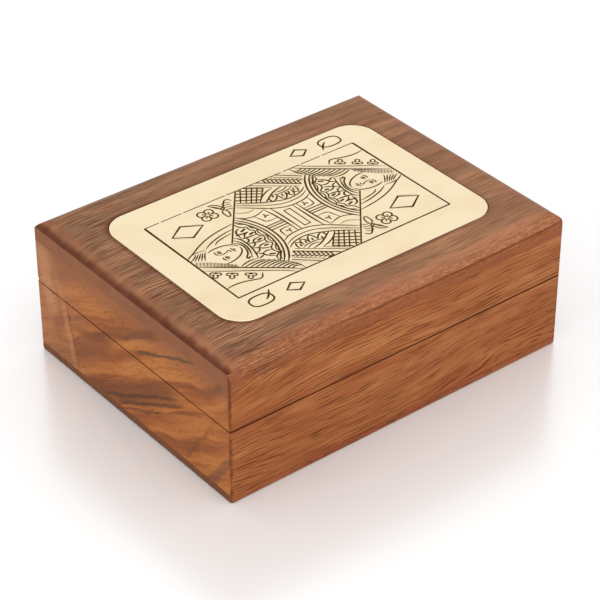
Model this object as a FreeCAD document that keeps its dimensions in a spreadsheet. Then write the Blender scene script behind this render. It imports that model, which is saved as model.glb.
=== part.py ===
"""Playing card box: a mitred wooden tray with a hinged lid, and a metal card plate let into the lid.

Frame: origin at the middle of the underside, +X to the right along the long side, -Y to the front,
+Z up. The lid is shut. Millimetres throughout.
"""
import FreeCAD, Part
import math
import os
import re
import Sketcher

SIZES = [
    ("box_length", 114.3, "outside length, left to right"),
    ("box_width", 87.9, "outside width, front to back"),
    ("box_height", 43.2, "outside height with the lid shut"),
    ("base_height", 23.0, "top edge of the tray above the table"),
    ("seam_gap", 0.35, "gap left by the saw between tray and lid"),
    ("wall_thickness", 8.0, "side boards"),
    ("bottom_thickness", 2.6, "board under the side boards"),
    ("top_thickness", 6.7, "board over the lid's side boards"),
    ("corner_ease", 0.8, "radius of the upright arrises"),
    ("bottom_ease", 0.6, "radius round the underside"),
    ("long_edge_radius", 5.2, "round-over along the top's front and back edges"),
    ("end_edge_radius", 5.5, "radius of the arc that falls to each end of the top"),
    ("end_edge_drop", 2.3, "how far that arc falls before it meets the end face"),
    ("relief_height", 3.7, "height of the eased lower back edge of the lid"),
    ("relief_depth", 1.4, "depth of that easing at the seam"),
    ("plate_length", 90.4, "card plate, left to right"),
    ("plate_width", 61.3, "card plate, front to back"),
    ("plate_thickness", 0.7, "card plate"),
    ("plate_corner", 7.7, "corner radius of the card plate"),
    ("plate_edge", 0.12, "bevel round the face of the card plate"),
    ("plate_shift_x", -0.1, "plate centre to the right of the box centre"),
    ("plate_shift_y", -0.45, "plate centre to the back of the box centre"),
    ("plate_gap", 0.2, "gap between the plate and the side of its recess"),
    ("plate_sink", 0.08, "face of the plate below the face of the wood"),
    ("felt_thickness", 1.0, "felt linings"),
    ("felt_gap", 0.4, "gap between a lining and the side boards"),
    ("hinge_length", 18.0, "one butt hinge along its pin"),
    ("hinge_from_end", 23.0, "middle of a hinge from the end of the box"),
    ("hinge_inset", 0.8, "hinge pin's centre inside the back face"),
    ("leaf_width", 6.4, "hinge leaf from the pin's centre to its far edge"),
    ("leaf_thickness", 0.7, "hinge leaf"),
    ("leaf_corner", 0.8, "corner radius of a leaf"),
    ("leaf_gap", 0.1, "gap between a leaf and the side of its mortise"),
    ("pin_radius", 0.5, "hinge pin"),
    ("pin_clearance", 0.05, "running clearance round the pin"),
    ("pin_ease", 0.15, "rounding at the ends of the pin"),
    ("knuckle_gap", 0.2, "gap between neighbouring knuckles"),
    ("knuckle_clearance", 0.3, "gap round the knuckles, to wood and to the other leaf"),
    ("screw_spacing", 10.6, "between the two screws of a leaf"),
    ("screw_setback", 3.9, "screws from the pin's centre"),
    ("screw_length", 6.5, "hinge screw, over all"),
    ("screw_head_radius", 1.4, "countersunk head"),
    ("screw_head_height", 0.6, "countersunk head"),
    ("screw_radius", 0.8, "shank"),
    ("screw_point", 1.6, "length of the tapered point"),
    ("screw_tip_radius", 0.15, "blunt end of the point"),
    ("screw_clearance", 0.05, "between a screw and the hole that it sits in"),
    ("slot_width", 0.4, "screwdriver slot"),
    ("slot_depth", 0.3, "screwdriver slot"),
]
KNUCKLES = 5
NAMES = {name for name, value, note in SIZES}

doc = FreeCAD.newDocument("card_box")
sheet = doc.addObject("Spreadsheet::Sheet", "Sizes")
for row, (name, value, note) in enumerate(SIZES, start=1):
    sheet.set(f"A{row}", name)
    sheet.set(f"B{row}", str(value))
    sheet.set(f"C{row}", note)
    sheet.setAlias(f"B{row}", name)
doc.recompute()

# Places that several pieces share.
LID_LOW = "(base_height + seam_gap)"
TOP_LOW = "(box_height - top_thickness)"
PLATE_FACE = "(box_height - plate_sink)"
BASE_WALL = "(base_height - bottom_thickness)"
LID_WALL = f"({TOP_LOW} - {LID_LOW})"
PIN_SETBACK = "(box_width / 2 - hinge_inset)"
PIN_LEVEL = "(base_height + seam_gap / 2)"
HINGE_OFFSET = "(box_length / 2 - hinge_from_end)"
BARREL = "(pin_radius + pin_clearance + leaf_thickness)"
KNUCKLE_PITCH = f"((hinge_length + knuckle_gap) / {KNUCKLES})"
LEAF_FACE = "(-seam_gap / 2)"
PARTS = []


def cells(text):
    """An expression in words of the sheet, with the sheet's name put before each of them."""
    return re.sub(r"[a-z_]+", lambda word: f"Sizes.{word[0]}" if word[0] in NAMES else word[0], text)


def number(text):
    return float(doc.Sizes.evalExpression(cells(text)))


def bind(thing, prop, text):
    thing.setExpression(prop, cells(text))


def new_body(label, place=("0", "0", "0"), turn=FreeCAD.Rotation()):
    """A part's body, moved to its place and turned about its own origin."""
    body = doc.addObject("PartDesign::Body", label)
    body.Label = label
    body.Placement = FreeCAD.Placement(FreeCAD.Vector(), turn)
    for axis, text in zip("xyz", place):
        bind(body, f"Placement.Base.{axis}", text)
    PARTS.append(body)
    return body


def plane_of(body, role):
    return next(part for part in body.Origin.OriginFeatures if part.Role == role)


def new_sketch(body, role, lift="0"):
    """A sketch on one of the body's own planes, lifted along that plane's normal."""
    sketch = body.newObject("Sketcher::SketchObject", f"{body.Label}_sketch")
    sketch.AttachmentSupport = [(plane_of(body, role), "")]
    sketch.MapMode = "FlatFace"
    bind(sketch, "AttachmentOffset.Base.z", lift)
    return sketch


def pin_down(sketch, geometry, point, corner):
    """Dimensions one point of the sketch from the sketch's origin."""
    for kind, axis, text in (("DistanceX", -2, corner[0]), ("DistanceY", -1, corner[1])):
        if text == "0":
            sketch.addConstraint(Sketcher.Constraint("PointOnObject", geometry, point, axis))
            continue
        at = sketch.addConstraint(Sketcher.Constraint(kind, -1, 1, geometry, point, number(text)))
        bind(sketch, f"Constraints[{at}]", text)


def radius(sketch, geometry, text):
    at = sketch.addConstraint(Sketcher.Constraint("Radius", geometry, number(text)))
    bind(sketch, f"Constraints[{at}]", text)


def outline(sketch, corners):
    """A closed outline. A corner is (x, y), or (x, y, centre_x, centre_y, r) where an arc leaves it."""
    sides = []
    for corner, after in zip(corners, corners[1:] + corners[:1]):
        start = FreeCAD.Vector(number(corner[0]), number(corner[1]), 0)
        end = FreeCAD.Vector(number(after[0]), number(after[1]), 0)
        if len(corner) == 2:
            sides.append((sketch.addGeometry(Part.LineSegment(start, end), False), 1, 2))
            continue
        centre = FreeCAD.Vector(number(corner[2]), number(corner[3]), 0)
        circle = Part.Circle(centre, FreeCAD.Vector(0, 0, 1), number(corner[4]))
        first, last = start - centre, end - centre
        anticlockwise = first.cross(last).z > 0
        if not anticlockwise:
            first, last = last, first
        arc = Part.ArcOfCircle(circle, math.atan2(first.y, first.x), math.atan2(last.y, last.x))
        side = sketch.addGeometry(arc, False)
        radius(sketch, side, corner[4])
        sides.append((side, 1, 2) if anticlockwise else (side, 2, 1))
    for (side, low, high), (after, after_low, after_high), corner in zip(
        sides, sides[1:] + sides[:1], corners[1:] + corners[:1]
    ):
        sketch.addConstraint(Sketcher.Constraint("Coincident", side, high, after, after_low))
        pin_down(sketch, after, after_low, corner)
    return sketch


def rectangle(sketch, left, right, low, high):
    return outline(sketch, [(left, low), (right, low), (right, high), (left, high)])


def rounded(sketch, length, width, corner, x="0", y="0"):
    """A rectangle about (x, y) with four equal round corners."""
    left, right = f"({x} - ({length}) / 2)", f"({x} + ({length}) / 2)"
    low, high = f"({y} - ({width}) / 2)", f"({y} + ({width}) / 2)"
    return outline(sketch, [
        (f"{left} + {corner}", low),
        (f"{right} - {corner}", low, f"{right} - {corner}", f"{low} + {corner}", corner),
        (right, f"{low} + {corner}"),
        (right, f"{high} - {corner}", f"{right} - {corner}", f"{high} - {corner}", corner),
        (f"{right} - {corner}", high),
        (f"{left} + {corner}", high, f"{left} + {corner}", f"{high} - {corner}", corner),
        (left, f"{high} - {corner}"),
        (left, f"{low} + {corner}", f"{left} + {corner}", f"{low} + {corner}", corner),
    ])


def disc(sketch, size, x="0", y="0"):
    circle = Part.Circle(FreeCAD.Vector(number(x), number(y), 0), FreeCAD.Vector(0, 0, 1), number(size))
    side = sketch.addGeometry(circle, False)
    radius(sketch, side, size)
    pin_down(sketch, side, 3, (x, y))
    return sketch


def solid(body, kind, sketch, length=None, both_ways=False):
    """A Pad or Pocket of the sketch; a Pocket with no length goes right through."""
    feature = body.newObject(f"PartDesign::{kind}", f"{body.Label}_{kind.lower()}")
    feature.Profile = sketch
    feature.Midplane = both_ways
    if length is None:
        feature.Type = "ThroughAll"
    else:
        bind(feature, "Length", length)
    sketch.Visibility = False
    body.Tip = feature
    return feature


def cut(body, sketch, length=None):
    """A Pocket to both sides of its sketch, which has to take something away."""
    doc.recompute()
    before = body.Shape.Volume
    feature = solid(body, "Pocket", sketch, length, both_ways=True)
    doc.recompute()
    if body.Shape.Volume > before - 1e-6:
        raise RuntimeError(f"a pocket in {body.Label} takes nothing away")
    return feature


def revolve(body, kind, sketch):
    """A Revolution or Groove of the sketch, once round its upright axis."""
    feature = body.newObject(f"PartDesign::{kind}", f"{body.Label}_{kind.lower()}")
    feature.Profile = sketch
    feature.ReferenceAxis = (sketch, ["V_Axis"])
    feature.Angle = 360
    body.Tip = feature
    return feature


def mirrored(body, features, role):
    feature = body.newObject("PartDesign::Mirrored", f"{body.Label}_mirrored")
    feature.Originals = features
    feature.MirrorPlane = (plane_of(body, role), [""])
    body.Tip = feature
    return feature


def repeated(body, features, length, count):
    """Copies of the features along the body's X axis, over the given length."""
    feature = body.newObject("PartDesign::LinearPattern", f"{body.Label}_row")
    feature.Originals = features
    feature.Direction = (next(part for part in body.Origin.OriginFeatures if part.Role == "X_Axis"), [""])
    bind(feature, "Length", length)
    feature.Occurrences = count
    body.Tip = feature
    return feature


def edge_names(body, wanted):
    """Names of the edges, in the body's own frame, for which wanted(edge) holds."""
    doc.recompute()
    return [f"Edge{at}" for at, edge in enumerate(body.Tip.Shape.Edges, start=1) if wanted(edge)]


def dressed(body, kind, size_name, size, wanted):
    """A Fillet or Chamfer on the chosen edges."""
    chosen = (body.Tip, edge_names(body, wanted))
    feature = body.newObject(f"PartDesign::{kind}", f"{body.Label}_{kind.lower()}")
    feature.Base = chosen
    bind(feature, size_name, size)
    body.Tip = feature
    return feature


def lies_at(level):
    """True for an edge that lies wholly at that height in its body."""
    return lambda edge: abs(edge.BoundBox.ZMin - level) < 1e-4 and abs(edge.BoundBox.ZMax - level) < 1e-4


# Side boards: four mitred boards to each ring, with the upright arrises eased after glue-up.

def side_board(label, span, setback, height, low, turn):
    """One mitred board, drawn as the front one and turned about the box's centre to its own side."""
    body = new_body(label, ("0", "0", low), FreeCAD.Rotation(FreeCAD.Vector(0, 0, 1), turn))
    end, face = f"{span} / 2", f"-{setback}"
    tip = "corner_ease * (1 - cos(45 deg))"
    sketch = outline(new_sketch(body, "XY_Plane"), [
        (f"-({end} - corner_ease)", face),
        (f"{end} - corner_ease", face, f"{end} - corner_ease", f"{face} + corner_ease", "corner_ease"),
        (f"{end} - {tip}", f"{face} + {tip}"),
        (f"{end} - wall_thickness", f"{face} + wall_thickness"),
        (f"-({end} - wall_thickness)", f"{face} + wall_thickness"),
        (f"-({end} - {tip})", f"{face} + {tip}", f"-({end} - corner_ease)", f"{face} + corner_ease",
         "corner_ease"),
    ])
    solid(body, "Pad", sketch, height)
    return body


def ring(prefix, height, low):
    """The four side boards of the tray or the lid, by the side that they stand on."""
    sides = [("front", "box_length", "box_width / 2", 0), ("right", "box_width", "box_length / 2", 90),
             ("back", "box_length", "box_width / 2", 180), ("left", "box_width", "box_length / 2", 270)]
    return {side: side_board(f"{prefix}_{side}_wall", span, setback, height, low, turn)
            for side, span, setback, turn in sides}


def seat_hinges(board, seam_face, pin_level):
    """Mortises for two leaves, channels for their knuckles and pilot holes for their screws."""
    reach = "hinge_length / 2 + leaf_gap"
    leaf = rectangle(
        new_sketch(board, "XY_Plane", seam_face),
        f"{HINGE_OFFSET} - ({reach})", f"{HINGE_OFFSET} + ({reach})",
        f"-{PIN_SETBACK}", f"-{PIN_SETBACK} + leaf_width + leaf_gap",
    )
    mortise = cut(board, leaf, "2 * leaf_thickness")
    round_knuckles = disc(new_sketch(board, "YZ_Plane", HINGE_OFFSET), f"{BARREL} + knuckle_clearance",
                          f"-{PIN_SETBACK}", pin_level)
    channel = cut(board, round_knuckles, f"2 * ({reach})")
    screws = new_sketch(board, "XY_Plane", seam_face)
    for side in ("-", "+"):
        disc(screws, "screw_radius + screw_clearance",
             f"{HINGE_OFFSET} {side} screw_spacing / 2", f"-{PIN_SETBACK} + screw_setback")
    pilots = cut(board, screws, "2 * (screw_length + leaf_thickness)")
    mirrored(board, [mortise, channel, pilots], "YZ_Plane")


def ease_back_edge(board, role, face, inward):
    """Rounds the lid's lower back edge, so that it clears the tray as the lid swings up."""
    bend = "(relief_height ^ 2 + relief_depth ^ 2) / (2 * relief_depth)"
    outside = f"{face} - {inward} * relief_depth"
    sketch = outline(new_sketch(board, role), [
        (face, "relief_height", f"{face} + {inward} * {bend}", "relief_height", bend),
        (f"{face} + {inward} * relief_depth", "0"),
        (f"{face} + {inward} * relief_depth", "-relief_height"),
        (outside, "-relief_height"),
        (outside, "relief_height"),
    ])
    cut(board, sketch)


base = ring("base", BASE_WALL, "bottom_thickness")
lid = ring("lid", LID_WALL, LID_LOW)
ease_back_edge(lid["back"], "YZ_Plane", "-box_width / 2", "1")
ease_back_edge(lid["right"], "XZ_Plane", "box_width / 2", "-1")
ease_back_edge(lid["left"], "XZ_Plane", "-box_width / 2", "1")
seat_hinges(base["back"], BASE_WALL, f"{BASE_WALL} + seam_gap / 2")
seat_hinges(lid["back"], "0", "-seam_gap / 2")

# Bottom: a thin board under the side boards, flush all round, eased on the underside.

bottom = new_body("base_bottom_panel")
solid(bottom, "Pad", rounded(new_sketch(bottom, "XY_Plane"), "box_length", "box_width", "corner_ease"),
      "bottom_thickness")
dressed(bottom, "Fillet", "Radius", "bottom_ease", lies_at(0))

# Top: a thicker board over the side boards. Its long edges are rounded over, its ends fall in a
# flatter arc to a crisp arris on the end face, and a shallow recess takes the card plate.

top = new_body("lid_top_panel")
board_plan = rounded(new_sketch(top, "XY_Plane", TOP_LOW), "box_length", "box_width", "corner_ease")
solid(top, "Pad", board_plan, "top_thickness")


def edge_arc(role, half, fall, bend):
    """A cut along the top's far edge: an arc that leaves the top level and falls to the side face."""
    run = f"sqrt({bend} ^ 2 - ({bend} - {fall}) ^ 2)"
    sketch = outline(new_sketch(top, role), [
        (f"{half} - {run}", "box_height", f"{half} - {run}", f"box_height - {bend}", bend),
        (half, f"box_height - {fall}"),
        (f"{half} + {bend}", f"box_height - {fall}"),
        (f"{half} + {bend}", f"box_height + {bend}"),
        (f"{half} - {run}", f"box_height + {bend}"),
    ])
    return cut(top, sketch)


back_round = edge_arc("YZ_Plane", "box_width / 2", "long_edge_radius", "long_edge_radius")
mirrored(top, [back_round], "XZ_Plane")
right_round = edge_arc("XZ_Plane", "box_length / 2", "end_edge_drop", "end_edge_radius")
mirrored(top, [right_round], "YZ_Plane")
recess = rounded(
    new_sketch(top, "XY_Plane", "box_height"), "plate_length + 2 * plate_gap",
    "plate_width + 2 * plate_gap", "(plate_corner + plate_gap)", "plate_shift_x", "plate_shift_y",
)
cut(top, recess, "2 * (plate_thickness + plate_sink)")

plate = new_body("card_plate", ("0", "0", f"{PLATE_FACE} - plate_thickness"))
plate_plan = rounded(new_sketch(plate, "XY_Plane"), "plate_length", "plate_width", "plate_corner",
                     "plate_shift_x", "plate_shift_y")
solid(plate, "Pad", plate_plan, "plate_thickness")
dressed(plate, "Chamfer", "Size", "plate_edge", lies_at(number("plate_thickness")))

# Linings: felt laid on the floor of the tray and on the inside of the top.


def lining(label, low):
    body = new_body(label, ("0", "0", low))
    inside = "(wall_thickness + felt_gap)"
    half_length, half_width = f"(box_length / 2 - {inside})", f"(box_width / 2 - {inside})"
    plan = new_sketch(body, "XY_Plane")
    rectangle(plan, f"-{half_length}", half_length, f"-{half_width}", half_width)
    solid(body, "Pad", plan, "felt_thickness")


lining("base_felt_lining", "bottom_thickness")
lining("lid_felt_lining", f"{TOP_LOW} - felt_thickness")

# Hinges: rolled brass butts. In a hinge's own frame the pin runs along X through the origin and the
# tray's leaf lies below and in front of it; the lid's leaf is the same form turned over about Y.

UPRIGHT = FreeCAD.Rotation()
TURNED_OVER = FreeCAD.Rotation(FreeCAD.Vector(0, 1, 0), 180)


def on_screw_axis(body):
    """A sketch whose upright axis is the left screw's own axis."""
    sketch = new_sketch(body, "XZ_Plane", "screw_setback")
    bind(sketch, "AttachmentOffset.Base.x", "-screw_spacing / 2")
    return sketch


def leaf(label, place, turn, gaps):
    """One leaf: a flat strip, its rolled knuckles with the bore, and two countersunk holes."""
    body = new_body(label, place, turn)
    half = "hinge_length / 2"
    far, bend = "-leaf_width", "leaf_corner"
    flat = outline(new_sketch(body, "XY_Plane", f"{LEAF_FACE} - leaf_thickness"), [
        (f"-({half} - {bend})", far),
        (f"{half} - {bend}", far, f"{half} - {bend}", f"{far} + {bend}", bend),
        (half, f"{far} + {bend}"),
        (half, "0"),
        (f"-{half}", "0"),
        (f"-{half}", f"{far} + {bend}", f"-({half} - {bend})", f"{far} + {bend}", bend),
    ])
    solid(body, "Pad", flat, "leaf_thickness")
    solid(body, "Pad", disc(new_sketch(body, "YZ_Plane"), BARREL), "hinge_length", both_ways=True)
    cut(body, disc(new_sketch(body, "YZ_Plane"), "pin_radius + pin_clearance"))
    first = f"({gaps[0]} - {KNUCKLES // 2}) * {KNUCKLE_PITCH}"
    reach = f"({KNUCKLE_PITCH} + knuckle_gap) / 2"
    around = f"({BARREL} + knuckle_clearance)"
    notch = cut(body, rectangle(new_sketch(body, "XY_Plane"), f"{first} - {reach}", f"{first} + {reach}",
                                f"-{around}", around))
    repeated(body, [notch], f"{2 * (len(gaps) - 1)} * {KNUCKLE_PITCH}", len(gaps))
    shank, below = "screw_radius + screw_clearance", f"{LEAF_FACE} - 2 * leaf_thickness"
    hole = outline(on_screw_axis(body), [
        ("0", LEAF_FACE),
        ("screw_head_radius + screw_clearance", LEAF_FACE),
        (shank, f"{LEAF_FACE} - screw_head_height"),
        (shank, below),
        ("0", below),
    ])
    doc.recompute()
    sink = revolve(body, "Groove", hole)
    repeated(body, [sink], "screw_spacing", 2)
    return body


def screws(label, place, turn):
    """The two screws of a leaf, each with a slot across its head."""
    body = new_body(label, place, turn)
    tip = f"{LEAF_FACE} - screw_length"
    profile = outline(on_screw_axis(body), [
        ("0", LEAF_FACE),
        ("screw_head_radius", LEAF_FACE),
        ("screw_radius", f"{LEAF_FACE} - screw_head_height"),
        ("screw_radius", f"{tip} + screw_point"),
        ("screw_tip_radius", tip),
        ("0", tip),
    ])
    turned = revolve(body, "Revolution", profile)
    doc.recompute()
    slot_sketch = rectangle(
        new_sketch(body, "XY_Plane", LEAF_FACE),
        "-(screw_spacing / 2 + screw_head_radius)", "-(screw_spacing / 2 - screw_head_radius)",
        "-screw_setback - slot_width / 2", "-screw_setback + slot_width / 2",
    )
    slot = cut(body, slot_sketch, "2 * slot_depth")
    repeated(body, [turned, slot], "screw_spacing", 2)
    return body


def pin(label, place):
    body = new_body(label, place)
    solid(body, "Pad", disc(new_sketch(body, "YZ_Plane"), "pin_radius"), "hinge_length", both_ways=True)
    dressed(body, "Fillet", "Radius", "pin_ease", lambda edge: edge.BoundBox.XLength < 1e-4)
    return body


for side, sign in (("left", "-"), ("right", "")):
    centre = (f"{sign}{HINGE_OFFSET}", PIN_SETBACK, PIN_LEVEL)
    leaf(f"{side}_hinge_base_leaf", centre, UPRIGHT, gaps=(1, 3))
    leaf(f"{side}_hinge_lid_leaf", centre, TURNED_OVER, gaps=(0, 2, 4))
    pin(f"{side}_hinge_pin", centre)
    screws(f"{side}_hinge_base_screws", centre, UPRIGHT)
    screws(f"{side}_hinge_lid_screws", centre, TURNED_OVER)

# Every object is checked before anything is written.

doc.recompute()
for thing in doc.Objects:
    if {"Invalid", "Error"} & set(thing.State):
        raise RuntimeError(f"{thing.Label} failed: {thing.State}")
for body in PARTS:
    if body.Shape.isNull() or not body.Shape.isValid() or not body.Shape.Solids:
        raise RuntimeError(f"{body.Label} has no sound solid")

os.makedirs("parts", exist_ok=True)
for body in PARTS:
    body.Shape.exportStep(f"parts/{body.Label}.step")
    print(f"{body.Label:26s} {len(body.Shape.Solids)} solid(s) {body.Shape.Volume:10.2f} mm3")
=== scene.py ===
"""Playing card box: a mitred sheesham tray and hinged lid, with an engraved brass card let into the lid."""

import math

import bpy
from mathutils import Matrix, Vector


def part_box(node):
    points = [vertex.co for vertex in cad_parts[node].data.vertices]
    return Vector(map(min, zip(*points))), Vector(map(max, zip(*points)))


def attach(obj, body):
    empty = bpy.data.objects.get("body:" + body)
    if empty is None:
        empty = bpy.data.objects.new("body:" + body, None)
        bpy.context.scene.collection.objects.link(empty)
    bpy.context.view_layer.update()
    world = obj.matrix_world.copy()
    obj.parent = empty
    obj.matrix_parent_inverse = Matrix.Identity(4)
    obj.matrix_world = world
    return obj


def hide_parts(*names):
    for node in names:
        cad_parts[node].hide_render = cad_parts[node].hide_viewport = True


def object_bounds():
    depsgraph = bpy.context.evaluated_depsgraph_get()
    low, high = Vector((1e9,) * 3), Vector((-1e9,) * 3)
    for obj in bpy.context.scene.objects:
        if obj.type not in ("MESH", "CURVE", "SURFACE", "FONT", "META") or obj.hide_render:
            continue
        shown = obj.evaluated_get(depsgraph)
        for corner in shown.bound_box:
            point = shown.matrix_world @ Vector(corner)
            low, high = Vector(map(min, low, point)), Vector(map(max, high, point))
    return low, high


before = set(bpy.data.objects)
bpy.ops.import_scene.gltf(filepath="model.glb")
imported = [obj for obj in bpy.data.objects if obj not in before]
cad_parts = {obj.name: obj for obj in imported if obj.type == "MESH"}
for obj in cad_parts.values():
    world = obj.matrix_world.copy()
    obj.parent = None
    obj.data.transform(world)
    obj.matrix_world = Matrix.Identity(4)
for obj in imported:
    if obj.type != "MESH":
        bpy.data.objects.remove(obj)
cad_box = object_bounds()
MM = 0.001

# The studio: a pale sheet that the box stands on, one broad lamp overhead, a weaker one at the left and
# an even white surround. The camera looks down on the front left corner.

scene = bpy.context.scene
scene.view_settings.view_transform = "Standard"
bpy.ops.object.select_all(action="DESELECT")

eye = Vector((-0.3269, -0.4104, 0.3786))
aim = Vector((-0.00156, -0.00239, 0.01737))
camera = bpy.data.cameras.new("camera")
camera.lens = 137.84
camera.clip_start = 0.01
camera_object = bpy.data.objects.new("camera", camera)
camera_object.location = eye
camera_object.rotation_euler = (aim - eye).to_track_quat("-Z", "Y").to_euler()
scene.collection.objects.link(camera_object)
scene.camera = camera_object

world = bpy.data.worlds.new("surround")
world.use_nodes = True
world.node_tree.nodes["Background"].inputs["Color"].default_value = (1.0, 1.0, 1.0, 1.0)
world.node_tree.nodes["Background"].inputs["Strength"].default_value = 1.0
scene.world = world


def softbox(name, place, size, power):
    """A square lamp turned towards the box."""
    lamp = bpy.data.lights.new(name, "AREA")
    lamp.size = size
    lamp.energy = power
    lamp_object = bpy.data.objects.new(name, lamp)
    lamp_object.location = place
    lamp_object.rotation_euler = (-Vector(place)).to_track_quat("-Z", "Y").to_euler()
    scene.collection.objects.link(lamp_object)


softbox("overhead", (-0.15, -0.5, 1.3), size=0.9, power=4.0)
softbox("left", (-1.2, 0.1, 0.7), size=0.7, power=2.0)

# The pale sheet is smooth coated board. It runs out past the edge of the view on every side and mirrors the
# box faintly. Finishes are written as sums on sockets, with lengths in millimetres in the box's own frame:
# Socket adds a Math node for each sign, and Finish adds any other node.


class Socket:
    """A number in a material, with which arithmetic can be done."""

    def __init__(self, finish, link):
        self.finish = finish
        self.link = link

    def math(self, operation, *others):
        values = dict(enumerate((self, *others)))
        return self.finish.node("ShaderNodeMath", {"operation": operation}, values)

    def __add__(self, other):
        return self.math("ADD", other)

    def __radd__(self, other):
        return self.math("ADD", other)

    def __sub__(self, other):
        return self.math("SUBTRACT", other)

    def __rsub__(self, other):
        return (self * -1) + other

    def __mul__(self, other):
        return self.math("MULTIPLY", other)

    def __rmul__(self, other):
        return self.math("MULTIPLY", other)

    def __truediv__(self, other):
        return self.math("DIVIDE", other)

    def __abs__(self):
        return self.math("ABSOLUTE")

    def step(self, low, high):
        """0 up to low, 1 from high, and a smooth rise between them. With low over high it falls."""
        settings = {"interpolation_type": "SMOOTHSTEP"}
        return self.finish.node("ShaderNodeMapRange", settings,
                                {"Value": self, "From Min": low, "From Max": high})


class Finish:
    """A material under construction."""

    def __init__(self, name):
        self.material = bpy.data.materials.new(name)
        self.material.use_nodes = True
        self.tree = self.material.node_tree
        self.shader = self.tree.nodes["Principled BSDF"]

    def node(self, kind, settings, sockets, out=0):
        """Adds a node, sets it up, and fills its sockets with values or links."""
        new = self.tree.nodes.new(kind)
        for name, value in settings.items():
            if name == "stops":
                self.set_stops(new.color_ramp, value)
            else:
                setattr(new, name, value)
        for key, value in sockets.items():
            self.fill(self.find(new, key), value)
        return Socket(self, new.outputs[out])

    def set_stops(self, ramp, stops):
        """A new ramp has two stops, so only the rest are added."""
        for place, colour in stops[2:]:
            ramp.elements.new(place)
        for element, (place, colour) in zip(ramp.elements, sorted(stops)):
            element.position = place
            element.color = (*colour, 1.0)

    def find(self, node, key):
        """A socket by its number, identifier or name."""
        if isinstance(key, int):
            return node.inputs[key]
        return next(entry for entry in node.inputs if key in (entry.identifier, entry.name))

    def fill(self, entry, value):
        """Links a socket, or sets its value."""
        if isinstance(value, Socket):
            self.tree.links.new(value.link, entry)
        elif entry.type == "RGBA":
            entry.default_value = (*value, 1.0)
        else:
            entry.default_value = value

    def place(self):
        """x, y and z in millimetres, from the Object output, number 3, of Texture Coordinate."""
        spot = self.node("ShaderNodeTexCoord", {}, {}, out=3)
        spot = self.node("ShaderNodeVectorMath", {"operation": "SCALE"}, {"Vector": spot, "Scale": 1 / MM})
        return [self.node("ShaderNodeSeparateXYZ", {}, {"Vector": spot}, out=axis) for axis in range(3)]

    def noise(self, x, y, z, detail, roughness=0.5):
        """Noise about 0.5 whose lumps are one unit across."""
        spot = self.node("ShaderNodeCombineXYZ", {}, {"X": x, "Y": y, "Z": z})
        sockets = {"Vector": spot, "Scale": 1.0, "Detail": detail, "Roughness": roughness}
        return self.node("ShaderNodeTexNoise", {}, sockets)

    def ramp(self, value, stops):
        """A colour that follows a number through its stops."""
        return self.node("ShaderNodeValToRGB", {"stops": stops}, {"Fac": value})

    def mix(self, share, first, second):
        """The first colour, with so much of the second laid over it."""
        sockets = {"Factor_Float": share, "A_Color": first, "B_Color": second}
        return self.node("ShaderNodeMix", {"data_type": "RGBA"}, sockets, out=2)

    def bump(self, height, strength, distance):
        """A normal tilted by a height, whose full rise is so far."""
        sockets = {"Height": height, "Strength": strength, "Distance": distance}
        return self.node("ShaderNodeBump", {}, sockets)

    def surface(self, **sockets):
        """Fills the shader's sockets, named with underscores for spaces."""
        for name, value in sockets.items():
            self.fill(self.shader.inputs[name.replace("_", " ")], value)
        return self.material


def linear(red, green, blue):
    """A colour picked in steps of 0 to 255, as the linear values that a socket takes."""
    shares = (red / 255, green / 255, blue / 255)
    return tuple(c / 12.92 if c <= 0.04045 else ((c + 0.055) / 1.055) ** 2.4 for c in shares)


def dress(nodes, material):
    """Gives solids of the frame their finish."""
    for name in nodes:
        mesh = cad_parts[name].data
        mesh.materials.clear()
        mesh.materials.append(material)


bpy.ops.mesh.primitive_plane_add(size=8.0, location=(0, 0, 0))
floor = bpy.context.active_object
floor.name = "floor"
pale = Finish("pale_sheet").surface(Base_Color=(0.93, 0.93, 0.93), Metallic=0.25, Roughness=0.24)
floor.data.materials.append(pale)

# Side boards. The tray and the lid were one closed box of sheesham, sawn apart once its mitres had set,
# so each pair of boards shares one figure. They are sanded flush, stained at the arrises and oiled, and the
# gap between tray and lid is darkened with painted shade.

half_length, half_width, box_height = (abs(c) / MM for c in (cad_box[0].x, cad_box[0].y, cad_box[1].z))
seam = (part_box("base_front_wall")[1].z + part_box("lid_front_wall")[0].z) / 2 / MM
pore_tone, stain_and_shade_tone = linear(80, 36, 10), linear(84, 36, 14)


def pores(wood, along, across, depth, length, width, rarity):
    """Open pores: dark dashes along the grain, so many millimetres long and wide, 1 in their middle."""
    return wood.noise(along / length, across / width, depth / width, 1.0).step(rarity, rarity + 0.07)


def growth_lines(wood, along, across, depth, pitch):
    """Thin dark lines along the grain at about one pitch, wavering and broken: 1 in their middle."""
    waver = wood.noise(along / 40, across / 9, depth / 9, 2.0) * 3.2
    broken = wood.noise(along / 12, across / 0.8, depth / 0.8, 2.0).step(0.38, 0.6)
    return ((across / pitch + waver) * math.tau).math("SINE").step(0.1, 1.0) * broken


def upright_arris(x, y):
    """1 at the four upright arrises of the box."""
    corner = half_length + half_width
    return (abs(x) + abs(y)).step(corner - 0.9, corner - 0.4)


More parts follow.
